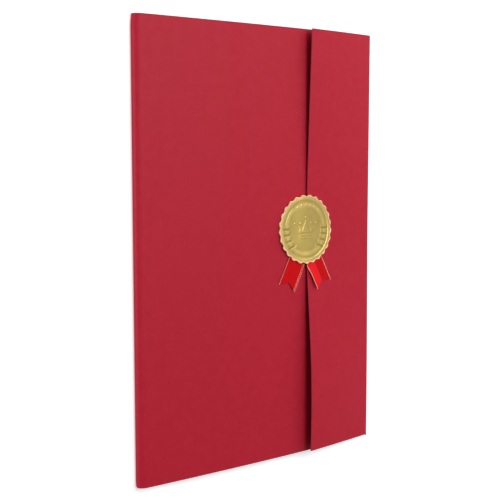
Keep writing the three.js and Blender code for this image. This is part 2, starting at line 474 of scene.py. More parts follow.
@dataclass(frozen=True)
class RibbonSatin:
    """Red satin ribbon: fine ribs across it and long soft floats along it, read from its own map, with a
    painted sheen mixed in where a tail's attribute asks for it.
    """

    colour: tuple = linear(198, 17, 24)
    shade: tuple = linear(184, 12, 19)
    # Painted sheen: the lighter red that stands in for the light caught by the raised half of a tail.
    painted_sheen: tuple = linear(224, 30, 38)
    gloss: tuple = linear(255, 72, 76)
    streak_grain: Grain = Grain(0.5, 2.0, (0.3, 0.7))
    streak_stretch: tuple = (1.0, 0.05, 1.0)
    streak_share: float = 0.7
    rib_pitch: float = 0.34
    rib_share: float = 0.65
    float_pitch: float = 0.5
    weave_depth: float = 0.01
    roughness: tuple = (0.25, 0.4)
    dyed_gloss: float = 0.55
    specular: float = 0.3

    def build(self) -> bpy.types.Material:
        """The ribbon's faces.

        Returns:
            The material.
        """
        graph = Graph("ribbon_satin")
        flat = graph.node("ShaderNodeUVMap", {"uv_map": FLAT_MAP}, {}).outputs[0]
        floats = graph.axis(flat, 0).ripple(self.float_pitch)
        ribs = graph.axis(flat, 1).ripple(self.rib_pitch)
        streaks = graph.noise(graph.stretched(flat, self.streak_stretch), self.streak_grain)
        weave = ribs * self.rib_share + floats * (1 - self.rib_share)
        tone = streaks * self.streak_share + weave * (1 - self.streak_share)
        dyed = graph.mix(tone.mapped(*self.streak_grain.span), self.shade, self.colour)
        return graph.surface({
            # Painted sheen: the lighter red is mixed in by the tail's attribute.
            "Base Color": graph.mix(graph.attribute(PAINTED_SHEEN), dyed, self.painted_sheen),
            "Roughness": streaks.mapped(*self.streak_grain.span, *self.roughness),
            "Metallic": self.dyed_gloss,
            "Specular IOR Level": self.specular,
            "Specular Tint": self.gloss,
            "Normal": graph.bump(weave, self.weave_depth),
        })


@dataclass(frozen=True)
class EdgeThread:
    """Pale, warm thread of the stitches along the ribbon's edges."""

    colour: tuple = linear(255, 214, 190)
    shade: tuple = linear(250, 176, 150)
    roughness: float = 0.45
    twist_pitch: float = 0.3
    twist_depth: float = 0.04

    def build(self) -> bpy.types.Material:
        """The stitches.

        Returns:
            The material.
        """
        graph = Graph("edge_thread")
        place = graph.place()
        twist = (graph.axis(place, 0) + graph.axis(place, 1)).ripple(self.twist_pitch)
        return graph.surface({
            "Base Color": graph.mix(twist, self.shade, self.colour),
            "Roughness": self.roughness,
            "Normal": graph.bump(twist, self.twist_depth),
        })


@dataclass(frozen=True)
class StudioWhite:
    """A pale floor or backdrop that keeps the object's shadow and is white behind it."""

    colour: tuple = (0.85, 0.85, 0.85, 1.0)
    lift: float = 0.45

    def build(self) -> bpy.types.Material:
        """The floor.

        Returns:
            The material.
        """
        graph = Graph("studio_white")
        strength = graph.seen() * self.lift
        diffuse = graph.node("ShaderNodeBsdfDiffuse", {}, {"Color": self.colour})
        glow = graph.node("ShaderNodeEmission", {}, {"Color": (1, 1, 1, 1), "Strength": strength})
        both = graph.node("ShaderNodeAddShader", {}, {0: diffuse.outputs[0], 1: glow.outputs[0]})
        graph.tree.links.new(both.outputs[0], graph.output.inputs["Surface"])
        return graph.material


def add_object(name: str, data: bpy.types.ID) -> bpy.types.Object:
    """Links a new object into the scene.

    Args:
        name: the object's name.
        data: its mesh, light or camera.

    Returns:
        The object.
    """
    made = bpy.data.objects.new(name, data)
    bpy.context.scene.collection.objects.link(made)
    return made


def carry(piece: bpy.types.Object, name: str, values: np.ndarray) -> None:
    """Gives each vertex of a piece a number for its material to read.

    Args:
        piece: the piece.
        name: the attribute's name.
        values: one number for each vertex.
    """
    piece.data.attributes.new(name, "FLOAT", "POINT").data.foreach_set("value", values)


def mesh_object(
    name: str,
    points: np.ndarray,
    faces: list,
    materials: list,
    face_materials: np.ndarray | None = None,
    sharp_degrees: float = 40.0,
) -> bpy.types.Object:
    """Makes a smooth mesh object from points in millimetres.

    Args:
        name: the object's name.
        points: one row for each vertex.
        faces: the faces' vertex numbers.
        materials: the object's materials.
        face_materials: which of them each face has, or None for the first.
        sharp_degrees: edges that turn more than this stay sharp.

    Returns:
        The object, linked into the scene.
    """
    mesh = bpy.data.meshes.new(name)
    mesh.from_pydata((points * MM).tolist(), [], faces)
    for material in materials:
        mesh.materials.append(material)
    if face_materials is not None:
        mesh.polygons.foreach_set("material_index", face_materials.astype(np.int32))
    mesh.shade_smooth()
    mesh.set_sharp_from_angle(angle=math.radians(sharp_degrees))
    mesh.update()
    return add_object(name, mesh)


def steps_between(low: float, high: float, count: int, near_low: tuple, near_high: tuple) -> np.ndarray:
    """Places along a line, evenly spaced, with chosen places close to its two ends.

    Args:
        low: the line's start.
        high: its end.
        count: how many even steps there are.
        near_low: distances from the start.
        near_high: distances from the end.

    Returns:
        The places, in order.
    """
    first = low + (near_low[-1] if near_low else 0.0)
    last = high - (near_high[-1] if near_high else 0.0)
    even = np.linspace(first, last, count + 1)
    starts = [low + distance for distance in near_low[:-1]]
    ends = [high - distance for distance in reversed(near_high[:-1])]
    return np.array([*starts, *even, *ends])


def grid_faces(rows: int, columns: int, first: int = 0, flip: bool = False) -> np.ndarray:
    """The four-sided faces of a grid of vertices.

    Args:
        rows: how many rows of vertices.
        columns: how many vertices in a row.
        first: the first vertex's number.
        flip: whether the faces look the other way.

    Returns:
        One row of four vertex numbers for each face.
    """
    at = first + np.arange(rows * columns).reshape(rows, columns)
    faces = np.stack([at[:-1, :-1], at[:-1, 1:], at[1:, 1:], at[1:, :-1]], axis=-1).reshape(-1, 4)
    return faces[:, ::-1] if flip else faces


def sheet_walls(rows: int, columns: int) -> np.ndarray:
    """The faces that join the two faces of a sheet along its four edges.

    Args:
        rows: how many rows of vertices each face has.
        columns: how many vertices in a row.

    Returns:
        One row of four vertex numbers for each face.
    """
    at = np.arange(rows * columns).reshape(rows, columns)
    border = np.concatenate([at[0, :-1], at[:-1, -1], at[-1, :0:-1], at[:0:-1, 0]])
    after = np.roll(border, -1)
    back = rows * columns
    return np.stack([after, border, border + back, after + back], axis=-1)


@dataclass(frozen=True)
class CardShape:
    """The folded card's form, with its sizes as in the solid that it stands for."""

    width: float
    height: float
    thickness: float = 0.5
    spine: float = 5.8
    spine_round: float = 6.6
    heel_radius: float = 1.3
    flap_fold: float = 2.8
    flap_width: float = 66.5
    flap_trim: float = 1.0
    overlap: float = 10.0
    front_bow: float = 0.9
    flap_bow: float = 0.4
    tuck_drop: float = 0.6
    tuck_sharpness: float = 8.0
    corner_pull: float = 0.75
    corner_reach_top: float = 9.0
    corner_reach_foot: float = 3.0
    rest_gap: float = 0.3
    lift_top: float = 5.0
    lift_foot: float = 6.2
    lift_foot_peak: float = 118.0
    lift_foot_power: float = 1.3
    lift_softness: float = 15.0
    fold_spring_share: float = 0.16
    seal_height: float = 11.0
    seal_shift: float = -1.0
    ribbon_tuck: float = -13.0

    @property
    def half_width(self) -> float:
        """Half of the closed width."""
        return self.width / 2

    @property
    def half_height(self) -> float:
        """Half of the height."""
        return self.height / 2

    @property
    def half_card(self) -> float:
        """Half of the card's thickness."""
        return self.thickness / 2

    @property
    def front_start(self) -> float:
        """Where the front panel leaves the spine's round."""
        return self.spine_round - self.half_width

    @property
    def flap_edge(self) -> float:
        """Where the flap's free edge lies at the seal."""
        return self.half_width - self.flap_width

    @property
    def seal_x(self) -> float:
        """Where the seal's middle lies across the certificate."""
        return self.flap_edge + self.seal_shift

    @property
    def front_end(self) -> float:
        """The front panel's hidden edge."""
        return self.flap_edge + self.overlap

    def front_at(self, x: np.ndarray) -> np.ndarray:
        """Height of the front panel's outer face.

        Args:
            x: places across the certificate.

        Returns:
            The height at each.
        """
        share = (x - self.front_start) / (self.front_end - self.front_start)
        bow = 4 * self.front_bow * share * (1 - share)
        return self.spine + bow - self.tuck_drop * np.clip(share, 0, None) ** self.tuck_sharpness

    def spring_at(self, y: np.ndarray) -> np.ndarray:
        """How far the flap's free edge springs up.

        Args:
            y: places up the certificate.

        Returns:
            The rise at each, above its rest at the seal.
        """
        away = np.asarray(y, float) - self.seal_height
        soft = np.hypot(away, self.lift_softness) - self.lift_softness
        reach = math.hypot(self.half_height - self.seal_height, self.lift_softness) - self.lift_softness
        wave = np.sin(math.pi / 2 * soft / self.lift_foot_peak)
        foot = self.lift_foot * np.clip(wave, 0, None) ** self.lift_foot_power
        return np.where(away > 0, self.lift_top * soft / reach, foot)

    def flap_layout(self, y: np.ndarray) -> dict:
        """The flap's fold, and the straight stretch that leaves it.

        Args:
            y: places up the certificate.

        Returns:
            The fold's radius, the card's middle radius in it, the flap's tilt, and the
            middle of the card at the flap's root and free edge, as X and height.
        """
        fold = (self.flap_fold + self.fold_spring_share * self.spring_at(y)) / 2
        bend = fold - self.half_card
        length = self.flap_width - fold
        edge = self.front_at(np.array(self.flap_edge)) + self.rest_gap + self.half_card + self.spring_at(y)
        tilt = np.arcsin((edge - fold - bend) / length)
        root = (self.half_width - fold + bend * np.sin(tilt), fold + bend * np.cos(tilt))
        tip = (root[0] - length * np.cos(tilt), root[1] + length * np.sin(tilt))
        return {"fold": fold, "bend": bend, "tilt": tilt, "root": root, "tip": tip}

    def flap_at(self, x: np.ndarray, y: np.ndarray) -> np.ndarray:
        """Height of the flap's outer face.

        Args:
            x: places across the certificate.
            y: places up it.

        Returns:
            The height at each.
        """
        layout = self.flap_layout(y)
        root, tip = layout["root"], layout["tip"]
        share = (root[0] - x) / (root[0] - tip[0])
        return root[1] + (tip[1] - root[1]) * share + 4 * self.flap_bow * share * (1 - share) + self.half_card


@dataclass
class FoldedCard:
    """The certificate's one sheet of card, folded round into front, back and flap."""

    shape: CardShape
    face: bpy.types.Material
    cut: bpy.types.Material
    flap_steps: int = 28
    fold_steps: int = 14
    back_steps: int = 24
    heel_steps: int = 8
    round_steps: int = 22
    front_steps: int = 90
    height_steps: int = 130
    cut_steps: tuple = (0.0, 0.05, 0.15, 0.5, 1.4)
    cut_round: float = 0.16
    cut_waist: float = 0.5
    score_depth: float = 0.07
    score_width: float = 0.9
    score_inset: float = 0.8
    sharp_degrees: float = 50.0

    def corner_pull(self, y: float) -> float:
        """How far the spine's round is pressed in near its ends.

        Args:
            y: a place up the certificate.

        Returns:
            The distance.
        """
        shape = self.shape
        top = max(0.0, 1 - (shape.half_height - y) / shape.corner_reach_top)
        foot = max(0.0, 1 - (y + shape.half_height) / shape.corner_reach_foot)
        return shape.corner_pull * (top**2 + foot**2)

    def section(self, y: float) -> tuple[np.ndarray, int]:
        """The middle of the card's thickness, from the flap's free edge round to the hidden edge.

        Args:
            y: a place up the certificate.

        Returns:
            The points, as X and height, and how many of them are on the flap.
        """
        shape = self.shape
        layout = shape.flap_layout(y)
        tip, root = np.array(layout["tip"]), np.array(layout["root"])
        span = root - tip
        reach = np.hypot(*span)
        share = steps_between(0.0, reach, self.flap_steps, self.cut_steps, ()) / reach
        rise = np.array([-span[1], span[0]]) / reach
        flap = tip + span * share[:, None] + rise * (4 * shape.flap_bow * share * (1 - share))[:, None]
        fold, bend, tilt = float(layout["fold"]), float(layout["bend"]), float(layout["tilt"])
        angle = np.linspace(math.pi / 2 - tilt, -math.pi / 2, self.fold_steps + 1)[1:]
        centre = shape.half_width - fold
        right = np.stack([centre + bend * np.cos(angle), fold + bend * np.sin(angle)], axis=-1)
        left = self.corner_pull(y) - shape.half_width
        heel = shape.heel_radius
        back_x = np.linspace(centre, left + heel, self.back_steps + 1)[1:]
        back = np.stack([back_x, np.full_like(back_x, shape.half_card)], axis=-1)
        turn = np.linspace(-math.pi / 2, -math.pi, self.heel_steps + 1)[1:]
        inner = heel - shape.half_card
        foot = np.stack([left + heel + inner * np.cos(turn), heel + inner * np.sin(turn)], axis=-1)
        wide = shape.front_start - left - shape.half_card
        tall = shape.spine - heel - shape.half_card
        turn = np.linspace(math.pi, math.pi / 2, self.round_steps + 1)[1:]
        rounded = np.stack([shape.front_start + wide * np.cos(turn), heel + tall * np.sin(turn)], axis=-1)
        front_x = steps_between(shape.front_start, shape.front_end, self.front_steps, (), self.cut_steps)[1:]
        past = (front_x - shape.front_start - self.score_inset) / self.score_width
        score = self.score_depth * np.exp(-(past**2)) * np.clip(front_x - shape.front_start, 0, 1)
        front = np.stack([front_x, shape.front_at(front_x) - shape.half_card - score], axis=-1)
        return np.concatenate([flap, right, back, foot, rounded, front]), len(flap)

    def build(self) -> bpy.types.Object:
        """The card as one closed sheet, with softened cut edges.

        Returns:
            The piece.
        """
        shape = self.shape
        half = shape.half_height
        heights = steps_between(-half, half, self.height_steps, self.cut_steps, self.cut_steps)
        outer, inner, from_cut = [], [], []
        for y in heights:
            middle, flap_count = self.section(y)
            along = np.gradient(middle, axis=0)
            along /= np.hypot(along[:, 0], along[:, 1])[:, None]
            normal = np.stack([-along[:, 1], along[:, 0]], axis=-1)
            travelled = np.concatenate([[0.0], np.cumsum(np.hypot(*np.diff(middle, axis=0).T))])
            edge = np.minimum(travelled, travelled[-1] - travelled)
            edge = np.minimum(edge, min(y + half, half - y))
            from_cut.append(edge)
            near = 1 - np.clip(edge / self.cut_round, 0, 1)
            thick = shape.half_card * (self.cut_waist + (1 - self.cut_waist) * np.sqrt(1 - near**2))
            trim = shape.flap_trim * (shape.half_height - y) / shape.height
            up = np.where(np.arange(len(middle)) < flap_count, y + trim, y)
            for faces, side in ((outer, 1), (inner, -1)):
                offset = middle + normal * (side * thick)[:, None]
                faces.append(np.stack([offset[:, 0], up, offset[:, 1]], axis=-1))
        rows, columns = len(heights), len(outer[0])
        points = np.concatenate([np.concatenate(outer), np.concatenate(inner)])
        skins = np.concatenate([
            grid_faces(rows, columns),
            grid_faces(rows, columns, rows * columns, flip=True),
        ])
        walls = sheet_walls(rows, columns)
        numbers = np.concatenate([np.zeros(len(skins)), np.ones(len(walls))])
        faces = [*skins.tolist(), *walls.tolist()]
        card = mesh_object("card_sheet", points, faces, [self.face, self.cut], numbers, self.sharp_degrees)
        carry(card, FROM_CUT, np.tile(np.concatenate(from_cut), 2))
        return card


def smooth_rise(depth: np.ndarray, ease: float) -> np.ndarray:
    """A height that eases from 0 at an outline to 1 inside it.

    Args:
        depth: distance inside the outline, negative outside.
        ease: the distance over which it rises.

    Returns:
        The height, from 0 to 1.
    """
    share = np.clip(depth / ease, 0, 1)
    return share * share * (3 - 2 * share)


def dome(offset: np.ndarray, half: float) -> np.ndarray:
    """A round-topped rise.

    Args:
        offset: distance from its middle.
        half: its half width.

    Returns:
        The height, from 0 to 1.
    """
    return np.sqrt(np.clip(1 - (offset / half) ** 2, 0, 1))


def depth_inside(x: np.ndarray, y: np.ndarray, corners: list) -> np.ndarray:
    """How far points lie inside a closed outline.

    Args:
        x: the points' places across.
        y: the points' places up.
        corners: the outline's corners.

    Returns:
        The distance to the outline, negative outside it.
    """
    best = np.full(x.shape, np.inf)
    inside = np.zeros(x.shape, bool)
    for (ax, ay), (bx, by) in zip(corners, corners[1:] + corners[:1]):
        dx, dy = bx - ax, by - ay
        along = np.clip(((x - ax) * dx + (y - ay) * dy) / (dx * dx + dy * dy), 0, 1)
        best = np.minimum(best, np.hypot(x - ax - along * dx, y - ay - along * dy))
        if dy:
            crosses = (ay > y) != (by > y)
            inside ^= crosses & (x < ax + dx * (y - ay) / dy)
    return np.where(inside, best, -best)


@dataclass
class GoldSeal:
    """The embossed seal that holds the flap: a scalloped disc with its design pressed up."""

    shape: CardShape
    foil: bpy.types.Material
    rim: bpy.types.Material
    radius: float = 24.7
    thickness: float = 0.5
    slope: float = 12.0
    ribbon_thickness: float = 0.4
    ease: float = 16.0
    ease_margin: float = 1.0
    round_off: float = 4.0
    round_samples: int = 17
    scallops: int = 25
    scallop_depth: float = 0.55
    scallop_turn: float = 10.5
    scallop_root: float = 22.8
    lip_width: float = 0.7
    lip_rise: float = 0.2
    border_radius: float = 21.0
    border_edge: float = 1.2
    border_rise: float = 0.36
    border_fall: float = 0.1
    band_outer: float = 19.8
    band_inner: float = 15.9
    band_outer_edge: float = 0.7
    band_inner_edge: float = 1.5
    band_rise: float = 0.14
    star_count: int = 5
    star_points: int = 5
    star_radius: float = 1.3
    star_waist: float = 0.45
    star_pitch: float = 13.0
    star_rise: float = 0.3
    star_edge: float = 0.4
    star_clear: float = 36.0
    star_fade: float = 6.0
    rung_length: float = 7.6
    rung_width: float = 3.3
    rung_radius: float = 18.0
    rung_angles: tuple = (8.0, -4.7, -18.5, -34.0, -50.0)
    rung_rise: float = 0.15
    rung_edge: float = 0.9
    slot_length: float = 7.2
    slot_width: float = 2.4
    slot_radius: float = 18.5
    slot_angles: tuple = (1.5, -11.5, -26.3, -42.2)
    # Shares of painted shade in the slots, the groove and the field.
    slot_shade: float = 0.8
    groove_shade: float = 0.4
    field_shade: float = 0.36
    crown_width: float = 20.0
    crown_foot: float = 12.0
    crown_peak: float = 7.4
    crown_side: float = 3.0
    crown_valleys: tuple = (4.0, 6.4)
    crown_valley: float = -0.6
    crown_base: float = -3.0
    crown_bands: tuple = (-4.4, -6.4)
    crown_band_width: float = 1.0
    crown_bevel: float = 0.9
    crown_band_edge: float = 0.3
    crown_rise: float = 0.16
    pearl_radius: float = 0.8
    pearl_gap: float = 0.5
    pearl_rise: float = 0.26
    rings: int = 92
    under_step: int = 8
    lip_steps: tuple = (0.0, 0.07, 0.17, 0.35, 0.53, 0.63, 0.7)
    spokes: int = 500
    sharp_degrees: float = 60.0

    @property
    def centre(self) -> tuple[float, float]:
        """The seal's centre on the card."""
        return self.shape.seal_x, self.shape.seal_height

    def seat(self, x: np.ndarray, y: np.ndarray) -> np.ndarray:
        """Height of the seal's underside: clear of the ribbons at its foot, sloping off the flap's edge.

        Args:
            x: places across the certificate.
            y: places up it.

        Returns:
            The height at each.
        """
        shape = self.shape
        end = shape.seal_height + shape.ribbon_tuck + self.ease_margin
        over = 1 - smooth_rise(y - end, self.ease)
        clear = shape.rest_gap + over * (self.ribbon_thickness + shape.rest_gap)
        edge = np.full_like(x, shape.flap_edge)
        step = shape.flap_at(edge, y) - shape.front_at(edge)
        left = shape.front_at(x) + step * np.clip(1 - (shape.flap_edge - x) / self.slope, 0, None)
        return np.where(x > shape.flap_edge, shape.flap_at(x, y), left) + clear

    def face_base(self, x: np.ndarray, y: np.ndarray) -> np.ndarray:
        """Height that the face builds on: the underside's, rounded off where it bends at the flap's edge.

        Args:
            x: places across the certificate.
            y: places up it.

        Returns:
            The height at each.
        """
        offsets = np.linspace(-self.round_off, self.round_off, self.round_samples)
        return np.mean([self.seat(x + offset, y) for offset in offsets], axis=0)

    def crown_height(self, x: np.ndarray, y: np.ndarray) -> np.ndarray:
        """The crown in the middle: five points with pearls over a base of two bars.

        Args:
            x: places across the seal, from its centre.
            y: places up it.

        Returns:
            The rise at each.
        """
        near, far = self.crown_valleys
        side = [
            (self.crown_foot / 2, self.crown_base),
            (self.crown_width / 2, self.crown_side),
            (far, self.crown_valley),
            (self.crown_width / 4, self.crown_side),
            (near, self.crown_valley),
        ]
        corners = [*side, (0.0, self.crown_peak), *[(-cx, cy) for cx, cy in reversed(side)]]
        peaks = [corner for corner in corners if corner[1] > self.crown_valley]
        depth = depth_inside(x, y, corners)
        rise = self.crown_rise * np.clip(depth / self.crown_bevel, 0, 1)
        for px, py in peaks:
            away = np.hypot(x - px, y - py - self.pearl_gap - self.pearl_radius)
            rise = np.maximum(rise, self.pearl_rise * dome(away, self.pearl_radius))
        for height in self.crown_bands:
            beside = self.crown_band_width / 2 - np.abs(y - height)
            inside = np.minimum(self.crown_foot / 2 - np.abs(x), beside)
            rise = np.maximum(rise, self.crown_rise * smooth_rise(inside, self.crown_band_edge))
        return rise

    def star_height(self, x: np.ndarray, y: np.ndarray) -> np.ndarray:
        """Small stars along the top of the band.

        Args:
            x: places across the seal, from its centre.
            y: places up it.

        Returns:
            The rise at each.
        """
        rise = np.zeros_like(x)
        radius = (self.band_inner + self.band_outer) / 2
        for number in range(self.star_count):
            turn = math.radians((number - (self.star_count - 1) / 2) * self.star_pitch)
            corners = []
            for corner in range(2 * self.star_points):
                reach = self.star_radius * (self.star_waist if corner % 2 else 1)
                angle = math.pi / 2 - turn + corner * math.pi / self.star_points
                corners.append((
                    radius * math.sin(turn) + reach * math.cos(angle),
                    radius * math.cos(turn) + reach * math.sin(angle),
                ))
            depth = depth_inside(x, y, corners)
            rise = np.maximum(rise, self.star_rise * smooth_rise(depth, self.star_edge))
        return rise

    def bars(
        self,
        x: np.ndarray,
        y: np.ndarray,
        angles: tuple,
        radius: float,
        size: tuple[float, float],
    ) -> np.ndarray:
        """Bars across the band at both sides, half way between level and radial.

        Args:
            x: places across the seal, from its centre.
            y: places up it.
            angles: where the bars lie, in degrees above level.
            radius: how far their middles are from the seal's centre.
            size: their length and width.

        Returns:
            1 on the bars, easing to 0 at their outline.
        """
        rise = np.zeros_like(x)
        for degrees in angles:
            turn = math.radians(degrees)
            lean = turn / 2
            ox = np.abs(x) - radius * math.cos(turn)
            oy = y - radius * math.sin(turn)
            along = ox * math.cos(lean) + oy * math.sin(lean)
            beside = oy * math.cos(lean) - ox * math.sin(lean)
            inside = np.minimum(size[0] / 2 - np.abs(along), size[1] / 2 - np.abs(beside))
            rise = np.maximum(rise, smooth_rise(inside, self.rung_edge))
        return rise

    def slots(self, x: np.ndarray, y: np.ndarray) -> np.ndarray:
        """The slots between the rungs, sunk in the relief and darkened with painted shade.

        Args:
            x: places across the seal, from its centre.
            y: places up it.

        Returns:
            1 in the slots, easing to 0 at their outline.
        """
        return self.bars(x, y, self.slot_angles, self.slot_radius, (self.slot_length, self.slot_width))

    def shade(self, x: np.ndarray, y: np.ndarray) -> np.ndarray:
        """How much painted shade the foil takes where the design is pressed in: the slots, the groove and the
        field.

        Args:
            x: places across the seal, from its centre.
            y: places up it.

        Returns:
            The share of the darker colour at each.
        """
        r = np.hypot(x, y)
        groove = (self.band_outer + self.border_radius) / 2
        ring = dome(r - groove, self.border_radius - self.band_outer)
        field = 1 - smooth_rise(r - self.band_inner, self.band_inner_edge)
        shades = [self.slot_shade * self.slots(x, y), self.groove_shade * ring, self.field_shade * field]
        return np.maximum.reduce(shades)

    def relief(self, x: np.ndarray, y: np.ndarray) -> np.ndarray:
        """The height of the pressed design above the seal's flat face.

        Args:
            x: places across the seal, from its centre.
            y: places up it.

        Returns:
            The rise at each.
        """
        r = np.hypot(x, y)
        from_top = np.degrees(np.abs(np.arctan2(x, y)))
        out = np.clip((r - self.border_radius) / (self.radius - self.border_radius), 0, 1)
        border = smooth_rise(r - self.border_radius, self.border_edge)
        border = border * (self.border_rise - self.border_fall * out)
        beside_stars = smooth_rise(from_top - self.star_clear, self.star_fade)
        band = smooth_rise(r - self.band_inner, self.band_inner_edge)
        band = self.band_rise * beside_stars * band * smooth_rise(self.band_outer - r, self.band_outer_edge)
        rungs = self.bars(x, y, self.rung_angles, self.rung_radius, (self.rung_length, self.rung_width))
        raised = np.maximum.reduce([border, band, self.rung_rise * rungs])
        raised = raised * (1 - self.slots(x, y))
        return np.maximum.reduce([raised, self.star_height(x, y), self.crown_height(x, y)])

    def scalloped(self, radii: np.ndarray) -> tuple[np.ndarray, np.ndarray]:
        """Rings of places round the seal, which take up its scallops towards the rim.

        Args:
            radii: the rings' radii.

        Returns:
            The places across the seal and up it, a row for each ring.
        """
        angles = np.linspace(0, 2 * math.pi, self.spokes, endpoint=False)
        wave = np.cos(self.scallops * (angles - math.radians(self.scallop_turn)))
        share = smooth_rise(radii - self.scallop_root, self.radius - self.scallop_root)
        reach = radii[:, None] + self.scallop_depth * share[:, None] * wave
        return reach * np.cos(angles), reach * np.sin(angles)

    def build(self) -> bpy.types.Object:
        """The seal as one closed disc.

        Returns:
            The piece.
        """
        radii = steps_between(0.0, self.radius, self.rings, (), self.lip_steps)[1:]
        under = np.append(radii[::self.under_step], self.radius)
        x, y = self.scalloped(radii)
        low_x, low_y = self.scalloped(under)
        lip = self.lip_rise * dome(radii - self.radius + self.lip_width / 2, self.lip_width / 2)
        top = self.thickness + self.relief(x, y) + lip[:, None]
        cx, cy = self.centre
        top_z = top + self.face_base(cx + x, cy + y)
        low_z = self.seat(cx + low_x, cy + low_y)
        zero = np.zeros(1)
        seat_middle = float(self.seat(cx + zero, cy + zero)[0])
        face_middle = float(self.face_base(cx + zero, cy + zero)[0] + self.relief(zero, zero)[0])
        points = np.concatenate([
            np.stack([cx + x, cy + y, top_z], axis=-1).reshape(-1, 3),
            np.stack([cx + low_x, cy + low_y, low_z], axis=-1).reshape(-1, 3),
            [[cx, cy, face_middle + self.thickness], [cx, cy, seat_middle]],
        ])
        foil_rings = int(np.searchsorted(radii, self.radius - self.lip_width))
        faces, numbers = self.faces(len(radii), len(under), foil_rings)
        disc = mesh_object("seal_disc", points, faces, [self.foil, self.rim], numbers, self.sharp_degrees)
        # Painted shade, carried for the foil to read.
        shade = np.zeros(len(points))
        shade[:x.size] = self.shade(x, y).ravel()
        carry(disc, PAINTED_SHADE, shade)
        return disc

    def faces(self, rings: int, under: int, foil_rings: int) -> tuple[list, np.ndarray]:
        """The seal's faces.

        Args:
            rings: how many rings of vertices its face has.
            under: how many its underside has.
            foil_rings: how many of the face's rings lie inside its lip.

        Returns:
            The faces, and which material each has.
        """
        count = self.spokes
        spokes = np.arange(count)
        after = (spokes + 1) % count

        def between(low: int, high: int) -> list:
            """Faces between two rings, looking up when high is the outer one.

            Args:
                low: the inner ring's first vertex.
                high: the outer ring's first vertex.

            Returns:
                The faces.
            """
            return np.stack([low + spokes, high + spokes, high + after, low + after], axis=-1).tolist()

        base = rings * count
        top_middle = base + under * count
        faces = [[top_middle, int(a), int(b)] for a, b in zip(spokes, after)]
        for ring in range(rings - 1):
            faces += between(ring * count, (ring + 1) * count)
        foil_faces = foil_rings * count
        faces += between((rings - 1) * count, base + (under - 1) * count)
        for ring in range(under - 1, 0, -1):
            faces += between(base + ring * count, base + (ring - 1) * count)
        faces += [[top_middle + 1, int(base + b), int(base + a)] for a, b in zip(spokes, after)]
        numbers = np.ones(len(faces))
        numbers[:foil_faces] = 0
        return faces, numbers


